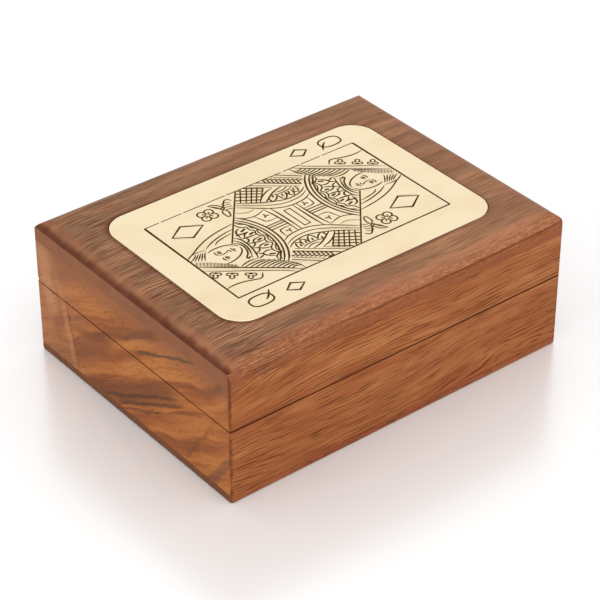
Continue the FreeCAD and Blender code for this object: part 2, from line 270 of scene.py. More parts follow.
def edge_stain_and_gap_shade(wood, x, y, z):
    """1 at the upright arrises, in the glue of a mitre, and outside along the saw cut of tray and lid: a
    ragged stain there, with painted shade in the gap between them.
    """
    corner = upright_arris(x, y) * wood.noise(x / 3, y / 3, z / 2.5, 3.0).step(0.3, 0.65)
    mitre = abs(abs(x) - abs(y) - (half_length - half_width)).step(0.16, 0.05)
    outside = (abs(x).step(half_length - 0.7, half_length - 0.1) * 0.5).math(
        "MAXIMUM", abs(y).step(half_width - 0.7, half_width - 0.1))
    saw_cut_stain_and_gap_shade = abs(z - seam).step(0.6, 0.2) * wood.noise(x / 9, y / 9, z / 3, 3.0).step(0.25, 0.65) * 0.7
    # Right at the saw cut, inside the gap between tray and lid, the solid dark line is painted shade.
    saw_cut_stain_and_gap_shade = outside * saw_cut_stain_and_gap_shade.math("MAXIMUM", abs(z - seam).step(0.32, 0.2))
    return corner.math("MAXIMUM", mitre).math("MAXIMUM", saw_cut_stain_and_gap_shade)


def oiled(wood, colour, pore, fibre, stain_and_shade):
    """Oiled, rubbed-down wood: the pores stay open, dark and dull."""
    colour = wood.mix(pore, colour, pore_tone)
    # This share darkens the wood towards one tone: real stain, and also painted shade wherever a caller
    # passes it in.
    colour = wood.mix(stain_and_shade * 0.8, colour, stain_and_shade_tone)
    dullness = 0.44 + 0.25 * pore + 0.1 * fibre
    relief = wood.bump(fibre * 0.5 - pore, strength=0.4, distance=0.1 * MM)
    return wood.surface(Base_Color=colour, Roughness=dullness, Normal=relief, Specular_IOR_Level=0.12)


def long_board(name, offset, fan):
    """A front or back board, its grain lengthways. The fan, 0 to 1, is how far its lines bend at the ends."""
    wood = Finish(name)
    x, y, z = wood.place()
    drift = wood.noise(x / 32 + offset, z / 12, y / 12, 2.0) - 0.5
    left_bend = x.step(-26, -62) * (2.4 - 9.0 * z.step(10, 34))
    right_bend = 7.5 * x.step(-6, 40) * z.step(-8, 12) * z.step(24, 12)
    across = z + drift * 4.5 - (left_bend + right_bend) * fan
    along = x + offset
    bands = wood.noise(along / 70, across / 2.4, y / 2.4, 3.0, 0.6)
    clouds = wood.noise(along / 20, across / 7, y / 7, 2.0)
    tones = [(0.0, linear(156, 91, 48)), (0.45, linear(176, 109, 60)), (0.8, linear(186, 120, 70)),
             (1.0, linear(180, 111, 66))]
    colour = wood.ramp((bands * 0.5 + clouds * 0.5).step(0.3, 0.7), tones)
    ruddy = wood.noise(along / 30, z / 5, y / 5, 2.0).step(0.46, 0.62) * 0.45 + z.step(9, 1) * 0.5
    colour = wood.mix(ruddy, colour, linear(154, 78, 38))
    fibre = wood.noise(along / 24, across / 0.5, y / 0.5, 3.0, 0.65)
    pale_fibre, dark_fibre, foot = fibre.step(0.5, 0.32), fibre.step(0.42, 0.7), z.step(26, 8)
    colour = wood.mix(pale_fibre * 0.35, colour, linear(190, 118, 62))
    colour = wood.mix(dark_fibre * 0.45, colour, linear(128, 66, 30))
    colour = wood.mix(foot * 0.25, colour, linear(142, 78, 38))
    calm = wood.noise(along / 22, across / 4.0, y / 4.0, 1.0).step(0.36, 0.52)
    lines = growth_lines(wood, along, across, y, pitch=1.05)
    colour = wood.mix(lines * (0.45 + 0.5 * calm), colour, linear(110, 48, 8))
    pore = pores(wood, along, across, y, length=7.0, width=0.32, rarity=0.59) * (0.15 + 0.5 * calm)
    return oiled(wood, colour, pore, fibre, edge_stain_and_gap_shade(wood, x, y, z))


def streak(spot, start, end, width):
    """A streak from start to end, so wide, ragged along its sides and fading at its ends: 1 in its middle."""
    tail = 4.0
    y, z, ragged = spot
    run, climb = end[0] - start[0], end[1] - start[1]
    length = math.hypot(run, climb)
    along = (y - start[0]) * (run / length) + (z - start[1]) * (climb / length)
    across = (z - start[1]) * (run / length) - (y - start[0]) * (climb / length) + ragged
    middle = abs(across).step(width / 2, width / 7)
    return middle * along.step(-tail, tail) * along.step(length + tail, length - tail)


def short_board(name, facing, marks):
    """A left or right board of figured wood. Its pores rise towards the front, and each mark is a streak."""
    wood = Finish(name)
    x, y, z = wood.place()
    slope = math.radians(30)
    drift = wood.noise(y / 24 + facing, z / 12, x / 12, 2.0) - 0.5
    along = z * math.sin(slope) - y * math.cos(slope)
    across = z * math.cos(slope) + y * math.sin(slope) + drift * 6.0 + facing * 31
    flame = wood.noise(along / 50, across / 4.2, x / 4.2, 3.0, 0.55)
    tones = [(0.0, linear(130, 71, 34)), (0.35, linear(151, 85, 38)), (0.7, linear(169, 99, 44)),
             (1.0, linear(180, 112, 54))]
    colour = wood.ramp(flame.step(0.32, 0.66), tones)
    fibre = wood.noise(along / 14, across / 0.5, x / 0.5, 3.0, 0.65)
    back_part, dark_fibre, upper_part = y.step(10, 42), fibre.step(0.42, 0.7), z.step(27, 36.5)
    colour = wood.mix(back_part * 0.6, colour, linear(166, 111, 73))
    colour = wood.mix(dark_fibre * 0.35, colour, linear(120, 64, 30))
    colour = wood.mix(upper_part * 0.85, colour, linear(140, 85, 52))
    spot = (y, z, (wood.noise(along / 9, across / 2.0, x / 2.0, 3.0) - 0.5) * 2.6 + drift * 2.0)
    for start, end, width, strength, tint in marks:
        colour = wood.mix(streak(spot, start, end, width) * strength, colour, linear(*tint))
    open_grained = wood.noise(y / 11, z / 8 + facing * 7, x / 8, 2.0).step(0.4, 0.62)
    pore = pores(wood, along, across, x, length=2.4, width=0.26, rarity=0.6) * (0.1 + 0.4 * open_grained)
    return oiled(wood, colour, pore, fibre, edge_stain_and_gap_shade(wood, x, y, z))


brown, smoky, green_grey, sapwood = (104, 56, 28), (76, 44, 24), (72, 56, 38), (204, 148, 104)
left_marks = [((26, 9), (8, 23), 9.0, 0.55, brown), ((9, 24), (-14, 37), 6.0, 0.4, brown),
              ((3, 26.5), (-12, 35.5), 3.6, 0.45, smoky),
              ((22, -1), (-20, 21), 9.0, 0.7, brown), ((17, 0), (-20, 20), 1.8, 0.7, smoky),
              ((6, 4), (-23, 19), 1.5, 0.7, smoky), ((10, 0), (-14, 12), 1.6, 0.6, smoky),
              ((-16, 13), (-32, 22), 1.6, 0.6, brown), ((-24, 3), (-36, 20), 2.4, 0.4, brown),
              ((-3, 25.3), (-29, 36.2), 1.5, 0.75, green_grey), ((-35, 2), (-46, 16), 4.4, 0.6, (94, 56, 40)),
              ((-38, 33), (-41, 36), 3.0, 0.5, green_grey), ((37, 36), (32, 24), 3.6, 0.12, sapwood),
              ((41, 37), (37, 17), 9.0, 0.35, sapwood), ((36, 9), (31, 19), 7.0, 0.35, brown),
              ((27, 16.5), (13, 21), 4.0, 0.45, brown), ((32, 24), (27, 2), 3.6, 0.25, sapwood),
              ((29.6, 22), (25.5, 4), 1.3, 0.5, brown)]
right_marks = [((-40, 4), (-4, 24), 8.0, 0.5, brown), ((-34, 3), (-2, 20), 2.2, 0.55, smoky),
               ((-20, 24), (4, 36), 5.0, 0.45, brown), ((2, 8), (34, 30), 9.0, 0.45, brown),
               ((8, 10), (38, 28), 1.6, 0.6, green_grey), ((26, 2), (44, 14), 3.0, 0.5, smoky)]
boards = {"front": long_board("front_board", offset=0.0, fan=1.0),
          "back": long_board("back_board", offset=240.0, fan=0.4),
          "left": short_board("left_board", facing=0, marks=left_marks),
          "right": short_board("right_board", facing=1, marks=right_marks)}
for side, board in boards.items():
    dress([f"base_{side}_wall", f"lid_{side}_wall"], board)

# Top board. One board is glued over the lid's sides, greyer than they are, with its long edges rounded over
# and rusty along the front, where a lighter band on the rounding is partly paler wood and partly painted
# highlight, with painted glints on it. Its end grain drinks the stain, most at the left, where the arc that
# falls to the end is dark with stain and with painted shade, and the square end below the arc is dull. Round
# the plate's recess the wood is darkened with painted shade, most at the front left.

plate_corner = 7.7
edge_start, edge_finish = 38, 43
ring_height = 40.4


def plate_edge_shade(x, y):
    """Painted shade in the wood round the plate's recess, where its gap and the plate's edge would shade it,
    most at the front left.
    """
    low, high = (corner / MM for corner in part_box("card_plate"))
    beyond_x = abs(x - (low.x + high.x) / 2) - ((high.x - low.x) / 2 - plate_corner)
    beyond_y = abs(y - (low.y + high.y) / 2) - ((high.y - low.y) / 2 - plate_corner)
    outside_x, outside_y = beyond_x.math("MAXIMUM", 0.0), beyond_y.math("MAXIMUM", 0.0)
    reach = (outside_x * outside_x + outside_y * outside_y).math("SQRT")
    return (reach - plate_corner).step(2.2, 0.2) * (0.25 + 0.65 * (x + y).step(20, -20))


wood = Finish("top_board")
x, y, z = wood.place()
drift = wood.noise(x / 45, y / 14, z / 14, 2.0) - 0.5
over_edge = y.step(edge_start, edge_finish) - y.step(-edge_start, -edge_finish)
across = y + drift * 3.0 + (box_height - z) * over_edge
bands = wood.noise(x / 80, across / 3.5, z / 9, 3.0, 0.6)
clouds = wood.noise(x / 24, across / 9, z / 9, 2.0)
top_tones = [(0.0, linear(120, 80, 53)), (0.5, linear(147, 101, 70)), (1.0, linear(170, 119, 84))]
colour = wood.ramp((bands * 0.6 + clouds * 0.4).step(0.32, 0.68), top_tones)

front_edge = (y + drift * 4.0).step(-40.3, -42.8)
# The lighter band along the front rounding is partly paler wood and partly painted highlight. The band below
# it is darker and redder.
brushing_and_highlight = y.step(-41, -43.5) * z.step(39, 41)
below_rounding = z.step(41, 39.5) * front_edge
colour = wood.mix(front_edge * 0.75, colour, linear(168, 95, 53))
colour = wood.mix(brushing_and_highlight * 0.5, colour, linear(172, 114, 82))
colour = wood.mix(below_rounding * 0.45, colour, linear(146, 76, 36))
blush = wood.noise(x / 30, across / 5, z / 5, 2.0).step(0.3, 0.6) * y.step(-36, -39.5) * (1 - front_edge)
colour = wood.mix(blush * 0.55, colour, linear(174, 112, 84))
handled = y.step(40, 42.5) * x.step(-22, 4) * x.step(38, 22)
handled = handled * wood.noise(x / 9, y / 4, z / 9, 2.0).step(0.2, 0.6)
colour = wood.mix(handled * 0.6, colour, linear(190, 124, 92))
specks = wood.noise(x / 1.3, across / 0.45, z / 9, 2.0)
# The pale specks on the front rounding are painted glints. The dark specks are the wood's own.
painted_glints = specks.step(0.54, 0.64) * front_edge * z.step(37.5, 42)
dark_specks = specks.step(0.46, 0.36) * front_edge
colour = wood.mix(painted_glints * 0.5, colour, linear(208, 146, 108))
colour = wood.mix(dark_specks * 0.45, colour, linear(122, 64, 36))
ring = abs(z + drift * 2.4 - ring_height).step(0.42, 0.1) * y.step(-41, -42.5)
ring = ring * (0.35 + 0.65 * x.step(-45, 5))
colour = wood.mix(ring * 0.7, colour, linear(100, 44, 20))
grey = wood.noise(x / 40, across / 6, z / 9, 2.0).step(0.42, 0.58) * y.step(-40.5, -37)
colour = wood.mix(grey * 0.35, colour, linear(128, 96, 70))

fade = 0.08 + 0.92 * abs(x).step(half_length - 1.9, half_length - 3.9)
dense = (0.4 + 0.6 * x.step(0, -50)) * fade
fibre = wood.noise(x / 13, across / 0.31, z / 9, 2.0, 0.5) * fade + (0.5 - 0.5 * fade)
pale_fibre, dark_fibre = fibre.step(0.45, 0.3), fibre.step(0.5, 0.64)
colour = wood.mix(pale_fibre * 0.5 * dense, colour, linear(182, 138, 104))
dense = dense * (1 - 0.3 * front_edge)
colour = wood.mix(dark_fibre * 0.6 * dense, colour, linear(90, 60, 40))
lines = growth_lines(wood, x * 1.3, across, z / 9, pitch=0.86)
colour = wood.mix(lines * dense * 0.85, colour, linear(78, 52, 34))
pore = pores(wood, x, across, z / 9, length=7.0, width=0.35, rarity=0.58) * (0.1 + 0.6 * dense)

near_end = abs(x).step(half_length - 5.5, half_length - 2)
colour = wood.mix(near_end * 0.35, colour, linear(134, 80, 54))
ragged = (wood.noise(y / 3, z / 9, x / 9, 3.0) - 0.5) * 1.6
# The dark arc that falls to each end is end-grain stain and painted shade, stronger at the left end.
end_arc_stain_and_shade = (abs(x) + ragged).step(half_length - 2.1, half_length - 0.3)
end_arc_stain_and_shade = end_arc_stain_and_shade * z.step(box_height - 2.7, box_height - 2.2) * (0.2 + 0.8 * x.step(1, -1))
end_arc_stain_and_shade = end_arc_stain_and_shade * (0.8 + 0.2 * wood.noise(y / 5, z / 5, x / 5, 2.0).step(0.3, 0.6))
end_face = abs(x).step(half_length - 0.3, half_length - 0.1) * z.step(box_height - 1.9, box_height - 2.9)
colour = wood.mix(end_face * (0.6 + 0.3 * clouds), colour, linear(132, 78, 44))
colour = wood.mix(end_arc_stain_and_shade * 0.9, colour, linear(78, 30, 8))
arris = upright_arris(x, y) * 0.8
# The share passed on here is the end arc's stain and painted shade, the painted shade round the plate, and
# the stained arrises.
stain_and_shade = (0.3 * end_arc_stain_and_shade).math("MAXIMUM", plate_edge_shade(x, y)).math("MAXIMUM", arris)
oiled(wood, colour, pore, fibre, stain_and_shade)
dress(["lid_top_panel"], wood.material)

# Bottom board. It is a thin board glued on under the tray with its grain lengthways, and its ends are
# coloured darker, so a darker line runs along the foot of each end.

wood = Finish("bottom_board")
x, y, z = wood.place()
across = y + 90
bands = wood.noise(x / 80, across / 3.5, z / 3.5, 3.0, 0.6)
fibre = wood.noise(x / 20, across / 0.5, z / 0.5, 3.0, 0.65)
dark_fibre = fibre.step(0.42, 0.7)
end_grain = abs(x).step(half_length - 0.6, half_length - 0.1)
colour = wood.ramp(bands.step(0.34, 0.66), [(0.0, linear(136, 70, 34)), (1.0, linear(162, 94, 52))])
colour = wood.mix(dark_fibre * 0.4, colour, linear(110, 58, 26))
pore = pores(wood, x, across, z, length=6.0, width=0.45, rarity=0.59) * 0.6
colour = wood.mix(end_grain * 0.85, colour, linear(106, 66, 37))
oiled(wood, colour, pore, fibre, end_grain * 0.1)
dress(["base_bottom_panel"], wood.material)

# The card plate is pale brass sheet with rounded corners, let into the top board a hair below its face.
# It was rubbed lengthways with fine paper before it was cut, and handling has clouded and scratched it.

card_brass = Finish("card_brass")
x, y, z = card_brass.place()
brushing_and_highlight = card_brass.noise(x / 9, y / 0.09, z / 0.5, 3.0, 0.6)
clouded = card_brass.noise(x / 16, y / 11, z / 4, 3.0, 0.6)
scratch = card_brass.noise(x / 3.5 + y / 9, y / 0.05 - x / 0.3, z, 1.0).step(0.79, 0.83)
tones = [(0.3, linear(243, 222, 182)), (0.5, linear(248, 229, 192)), (0.7, linear(250, 232, 197))]
colour = card_brass.ramp(clouded, tones)
colour = card_brass.mix(scratch * 0.25, colour, linear(214, 190, 146))
dullness = 0.22 + 0.1 * clouded + 0.1 * brushing_and_highlight + 0.1 * scratch
relief = card_brass.bump(brushing_and_highlight + 0.5 * scratch, strength=0.15, distance=0.01 * MM)
card_brass.surface(Base_Color=colour, Metallic=1.0, Roughness=dullness, Normal=relief)
dress(["card_plate"], card_brass.material)

# The court card is cut into the brass with a graver and its lines are filled with dark wax. It is the old
# double-ended queen of diamonds: one figure is drawn, in millimetres from the middle of the box, and the
# other is the same one turned half round. Broad bands are only frosted.

card_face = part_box("card_plate")[1].z
figure_centre = (-0.6, 0.05)
wax_width = 0.56
frame_left, frame_right, frame_low, frame_high = -36.5, 35.9, -20.95, 20.75
waxed = []
frosted = []


def cut(points, weight, closed=False, straight=False, into=waxed):
    """One line of the graver, so many times the usual width."""
    into.append((points, weight, closed, straight))


def placed(points, spot, turn=0.0, scale=1.0):
    """A small motif, turned by so many degrees and set down at a spot."""
    c, s = math.cos(math.radians(turn)) * scale, math.sin(math.radians(turn)) * scale
    return [(spot[0] + x * c - y * s, spot[1] + x * s + y * c) for x, y in points]


def arc(centre, radius, start, end, count):
    """So many points along an arc, from one angle to another in degrees."""
    turns = [math.radians(start + (end - start) * i / (count - 1)) for i in range(count)]
    return [(centre[0] + radius * math.cos(a), centre[1] + radius * math.sin(a)) for a in turns]


def engraved(name, strokes, flatness, material):
    """Turns strokes into one thin piece of filling that lies in the face of the plate."""
    curve = bpy.data.curves.new(name, "CURVE")
    curve.dimensions = "3D"
    curve.bevel_depth = wax_width / 2 * MM
    curve.bevel_resolution = 0
    curve.resolution_u = 5
    curve.use_fill_caps = True
    for points, weight, closed, straight in strokes:
        spline = curve.splines.new("POLY" if straight else "BEZIER")
        knots = spline.points if straight else spline.bezier_points
        knots.add(len(points) - 1)
        for knot, (x, y) in zip(knots, points):
            knot.co = (x * MM, y * MM, card_face, 1.0) if straight else (x * MM, y * MM, card_face)
            knot.radius = weight
            if not straight:
                knot.handle_left_type = knot.handle_right_type = "AUTO"
        spline.use_cyclic_u = closed
        if not closed and not straight:
            knots[0].radius = knots[-1].radius = weight * 0.5
    piece = bpy.data.objects.new(name, curve)
    scene.collection.objects.link(piece)
    bpy.ops.object.select_all(action="DESELECT")
    piece.select_set(True)
    bpy.context.view_layer.objects.active = piece
    bpy.ops.object.convert(target="MESH")
    piece = bpy.context.active_object
    bpy.ops.object.mode_set(mode="EDIT")
    bpy.ops.mesh.select_all(action="SELECT")
    bpy.ops.transform.resize(value=(1, 1, flatness), center_override=(0, 0, card_face))
    bpy.ops.object.mode_set(mode="OBJECT")
    piece.data.materials.append(material)
    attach(piece, "lid")
    return piece


def turned(piece, name):
    """A copy turned half round the middle of the figure."""
    bpy.ops.object.select_all(action="DESELECT")
    piece.select_set(True)
    bpy.context.view_layer.objects.active = piece
    bpy.ops.object.duplicate()
    copy = bpy.context.active_object
    copy.name = copy.data.name = name
    bpy.ops.object.mode_set(mode="EDIT")
    bpy.ops.mesh.select_all(action="SELECT")
    bpy.ops.transform.rotate(value=math.pi, orient_axis="Z",
                             center_override=(figure_centre[0] * MM, figure_centre[1] * MM, card_face))
    bpy.ops.object.mode_set(mode="OBJECT")
    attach(copy, "lid")


# Suit mark, a flower of four petals on its stem, and the hand that holds it.

pip = [(-33.35, 12.4), (-28.45, 15.65), (-23.1, 12.5), (-28.7, 9.15)]
cut(pip, 1.4, closed=True, straight=True)
cut([(-28.4, 15.7), (-23.5, 12.75)], 1.5, straight=True, into=frosted)
cut([(-33.4, 12.0), (-28.8, 9.0)], 1.5, straight=True, into=frosted)
flower = (-19.2, 15.65)
petal = [(0.2, 0.35), (0.95, 0.85), (1.1, 1.75), (0.45, 2.5), (-0.5, 2.45), (-1.1, 1.7), (-0.9, 0.85),
         (-0.2, 0.35)]
vein = [(0, 0.5), (0.05, 1.6)]
for quarter in range(4):
    cut(placed(petal, flower, turn=45 + 90 * quarter, scale=1.13), 0.9)
    cut(placed(vein, flower, turn=45 + 90 * quarter), 1.7)
upper_leaf = [(-16.6, 19.4), (-15.2, 18.9), (-14.2, 17.8), (-13.9, 16.2), (-15.2, 16.9), (-15.8, 18.1),
              (-16.6, 19.4)]
lower_leaf = [(-13.9, 15.3), (-15.1, 14.4), (-15.3, 12.9), (-14.9, 11.5), (-13.9, 12.6), (-13.6, 14.0),
              (-13.9, 15.3)]
cut(upper_leaf, 0.85)
cut(lower_leaf, 0.85)
cut([(-16.2, 18.9), (-15.0, 17.2), (-14.1, 15.4), (-13.0, 16.9), (-12.0, 18.1), (-11.0, 18.9), (-10.2, 18.7),
     (-9.6, 17.6)], 0.9)
knuckles = [(-1.3, 0.15), (-0.4, 0.5), (0.7, 0.1), (1.2, -0.7)]
for finger in range(4):
    cut(placed(knuckles, (-11.9 - 0.3 * finger, 17.4 - 1.05 * finger)), 0.6)

# The mantle: one long straight edge across the card, and the veil that falls from the crown to it.

edge_foot, edge_head = (-22.5, 0.3), (-5.9, 20.8)
edge_turn = math.degrees(math.atan2(edge_head[1] - edge_foot[1], edge_head[0] - edge_foot[0]))
cut([edge_foot, edge_head], 0.85, straight=True)
cut([(-36.6, 1.2), (-33.5, 2.9), (-29.5, 5.1), (-24.5, 6.9), (-19.5, 7.8), (-16.3, 8.1)], 0.85)
cut([(-29.4, 2.6), (-27.0, 3.9), (-23.5, 5.1), (-20.5, 5.7), (-18.2, 5.9)], 0.85)
cut([(-26.4, 2.5), (-25.2, 3.4), (-22.5, 4.1), (-19.6, 4.5)], 0.8)

# Her face is drawn by rule: brow, nose and chin at equal thirds, eyes halfway up the head and a fifth of
# its breadth each. She looks straight out, with her crown to the left.

face_middle, face_turn = (-26.7, -2.5), 97


def feature(points, weight):
    """A line of the face, whose points are across from its middle line and up from its middle."""
    cut(placed(points, face_middle, face_turn), weight * 1.15)


upper_lid = [(0.8, 0.75), (1.25, 1.15), (1.8, 1.15), (2.4, 0.7)]
lower_lid = [(0.8, 0.75), (1.6, 0.4), (2.4, 0.7)]
pupil = [(1.6, 0.95), (1.6, 0.6)]
brow = [(0.7, 1.75), (1.3, 2.05), (2.0, 2.05), (2.7, 1.6)]
cheek = [(0.2, -4.95), (1.6, -4.4), (3.0, -2.6), (3.7, -0.4), (3.85, 1.6), (3.6, 3.2)]
nose = [(0.45, 1.7), (0.3, 0.4), (0.45, -0.9), (0.75, -1.5), (0.3, -1.8), (-0.1, -1.7), (-0.55, -1.75)]
upper_lip = [(-1.15, -2.75), (-0.45, -2.6), (0, -2.7), (0.45, -2.6), (1.15, -2.75)]
lower_lip = [(-0.6, -3.15), (0, -3.3), (0.6, -3.15)]
for side in (-1, 1):
    for points, weight in ((upper_lid, 0.8), (lower_lid, 0.5), (pupil, 1.3), (brow, 0.75), (cheek, 0.75)):
        feature([(side * across, up) for across, up in points], weight)
feature(nose, 0.6)
feature(upper_lip, 0.75)
feature(lower_lip, 0.55)

# Her hair: locks over the brow, combed waves that hang from the crown to the collar, and a fringe of fine
# strokes along the crown.

for lock in range(5):
    cut([(-36.3 + 0.85 * lock, 0.0 - 0.45 * lock), (-34.5 + 0.65 * lock, 0.95 - 0.28 * lock),
         (-33.2 + 0.68 * lock, 2.0 - 0.12 * lock)], 0.85)
cut([(-36.4, 1.4), (-34.7, 2.3), (-32.5, 2.6), (-29.9, 2.3)], 0.7)
cut([(-27.1, -9.9), (-25.8, -9.4), (-23.3, -9.1), (-21.4, -9.5)], 0.95)
for wave in range(10):
    start = (-26.8 + 1.06 * wave, -10.7 - 0.9 * wave)
    end = (-20.2 + 1.3 * wave - 0.075 * wave * wave, -10.9 - 0.9 * wave)
    run = end[0] - start[0]
    cut([start, (start[0] + run * 0.35, start[1] + 0.35), (start[0] + run * 0.7, start[1] + 0.35), end], 0.95)
cut([(-15.5, -15.9), (-14.5, -18.2), (-14.15, -20.6)], 0.9)
for strand in range(4):
    cut([(-36.4, -2.4 + 0.45 * strand), (-33.8, -4.3 + 0.65 * strand), (-31.0, -6.7 + 0.6 * strand),
         (-29.0, -8.4 + 0.45 * strand), (-27.6, -9.7 + 0.25 * strand)], 0.36)
for dash in range(12):
    x, y = -36.2 + 0.7 * dash, -2.6 - 0.58 * dash
    cut([(x, y), (x + 1.0, y + 1.7 - 0.06 * dash)], 0.3, straight=True)

# Her crown: a double band across the corner, three trefoils and the cap's curved hem.

for below, weight in ((0.0, 1.0), (2.0, 0.65)):
    cut([(frame_left, -2.95 - below * 1.1), (-32.0, -6.5 - below * 1.15), (-27.6, -10.05 - below),
         (-22.7, -14.0 - below * 0.9), (-18.4, -17.6 - below * 0.85), (-14.7 - below * 1.1, frame_low)],
        weight)
cut([(frame_left, -4.1), (-27.6, -11.3), (-22.7, -15.2), (-16.2, -20.6)], 1.2, into=frosted)
trefoil = [(-0.2, -1.3), (-0.15, -0.5), (-0.65, -0.9), (-1.2, -0.9), (-1.55, -0.4), (-1.3, 0.15), (-0.7, 0.2),
           (-0.4, 0.4), (-0.7, 0.95), (-0.5, 1.5), (0, 1.7), (0.5, 1.5), (0.7, 0.95), (0.4, 0.4), (0.7, 0.2),
           (1.3, 0.15), (1.55, -0.4), (1.2, -0.9), (0.65, -0.9), (0.15, -0.5), (0.2, -1.3)]
for spot in ((-34.75, -8.75), (-31.45, -11.55), (-27.6, -14.55)):
    cut(placed(trefoil, spot, turn=141, scale=0.95), 0.8)
cut([(frame_left, -15.85), (-34.0, -15.55), (-31.0, -15.9), (-28.5, -16.7), (-26.3, -17.3), (-25.5, -16.8),
     (-24.5, -15.5)], 0.9)

# Her neck and ruff: three strings of the necklace, lace petals with a scalloped hem, and a corded collar.

neck = (-29.8, -1.8)


def under_edge(radius):
    """The angle at which an arc round the neck comes out from under the mantle's edge."""
    turn = math.radians(edge_turn)
    reach = (edge_foot[0] - neck[0]) * math.sin(turn) - (edge_foot[1] - neck[1]) * math.cos(turn)
    return edge_turn - 90 + math.degrees(math.acos(reach / radius))


necklace = [[(-22.0, 0.3), (-21.0, -1.4), (-20.9, -3.2), (-21.8, -5.7), (-23.3, -8.0), (-22.6, -7.6),
             (-21.9, -8.3)],
            [(-21.4, 1.4), (-20.4, -0.6), (-20.2, -2.8), (-20.7, -5.0), (-21.9, -7.7)],
            [(-20.6, 2.3), (-19.7, 1.0), (-19.3, -1.4), (-19.6, -4.6), (-20.3, -7.2), (-21.2, -9.6)]]
pleats = [[(-19.0, 1.0), (-18.7, 3.1), (-18.1, 4.4), (-16.6, 5.1)],
          [(-19.6, 2.7), (-18.4, 2.6), (-17.2, 2.4), (-15.7, 2.4)],
          [(-18.1, 0.5), (-17.2, 1.8), (-15.6, 2.3)],
          [(-19.3, 0.7), (-18.1, 0.4), (-16.3, 0.1), (-14.6, 0.0)],
          [(-18.1, 0.4), (-17.8, -0.6), (-18.5, -1.6), (-19.5, -1.7)],
          [(-17.6, -2.8), (-16.9, -1.8), (-14.5, -1.4)],
          [(-19.2, -2.3), (-17.6, -2.8), (-16.3, -3.3), (-14.5, -3.4)],
          [(-17.6, -2.8), (-17.8, -3.7), (-19.4, -4.4)],
          [(-19.4, -4.7), (-18.1, -5.6), (-17.2, -6.5), (-15.3, -7.3)],
          [(-18.1, -5.6), (-16.9, -4.9), (-14.5, -4.8)],
          [(-18.1, -5.6), (-18.6, -6.7), (-20.0, -7.1)],
          [(-20.3, -7.3), (-19.0, -8.4), (-18.5, -9.7), (-16.9, -11.4)],
          [(-19.0, -8.4), (-17.2, -8.0), (-15.7, -8.5)],
          [(-21.0, -9.8), (-20.1, -9.5), (-18.7, -8.9)]]
eyelets = [[(-17.2, 3.4), (-15.4, 4.0)], [(-16.2, 1.0), (-14.6, 1.3)], [(-16.2, -2.6), (-14.6, -2.3)],
           [(-16.4, -5.7), (-14.9, -5.8)], [(-17.7, -9.7), (-16.2, -10.5)]]
inner_hem = [(-16.6, 7.7), (-16.4, 6.2), (-15.6, 4.9), (-14.7, 4.4), (-14.7, 2.9), (-13.9, 1.7), (-14.4, 0.6),
             (-14.4, -0.7), (-13.6, -2.2), (-14.4, -3.6), (-14.4, -4.9), (-13.8, -6.0), (-15.2, -7.3),
             (-15.7, -8.8), (-15.3, -10.4), (-16.9, -11.9), (-17.3, -13.3)]
outer_hem = [(-15.8, 8.0), (-15.4, 6.9), (-14.2, 5.8), (-13.8, 4.7), (-13.7, 3.4), (-12.9, 2.2), (-13.5, 0.9),
             (-13.5, -0.9), (-12.8, -2.3), (-13.4, -3.6), (-13.4, -5.0), (-12.9, -6.1), (-13.9, -7.5),
             (-14.7, -8.9), (-14.4, -10.6), (-15.9, -12.0), (-16.4, -13.8)]
for string in necklace:
    cut(string, 0.95)
for pleat in pleats:
    cut(pleat, 1.05)
for eyelet in eyelets:
    cut(eyelet, 1.3, straight=True)
cut(inner_hem, 0.85)
cut(outer_hem, 0.75)
for radius, weight in ((17.4, 1.0), (18.4, 0.95), (19.6, 1.05)):
    cut(arc(neck, radius, under_edge(radius), -45, count=12), weight)

# Her bodice: a double placket each side of a middle panel, and corner brackets with a mark in each.

cut([(-5.6, 8.4), (-5.0, 4.5), (-4.6, 0.0), (-4.5, -5.5)], 1.0)
cut([(-3.8, 7.8), (-3.5, 4.0), (-3.35, 0.0), (-3.3, -5.5)], 1.0)
cut([(-14.2, 9.9), (-12.2, 8.1), (-10.0, 7.4), (-8.0, 7.6), (-5.6, 8.5)], 0.75)
cut([(-12.9, 12.0), (-11.0, 10.5), (-9.4, 9.9), (-7.4, 10.2)], 0.55)
cut([(-9.8, 7.2), (-9.1, 5.0), (-8.6, 3.5), (-7.8, 3.15), (-5.1, 3.1)], 0.75)
cut([(-8.7, -6.1), (-8.6, -3.2), (-8.3, -2.4), (-7.4, -2.2), (-4.8, -2.1)], 0.8)
for spot, turn in (((-7.0, 5.7), 10), ((-6.4, -3.9), 190)):
    for spoke in range(3):
        cut(placed([(0, 0.1), (0, 1.0)], spot, turn + 120 * spoke), 0.9, straight=True)
for height in (1.25, 0.25, -0.95):
    cut([(-10.1, height), (-4.7, height)], 0.85, straight=True)

# Her lower sleeve: three hems over it, a fan of pointed petals, a checked cuff, a strap and a plait.

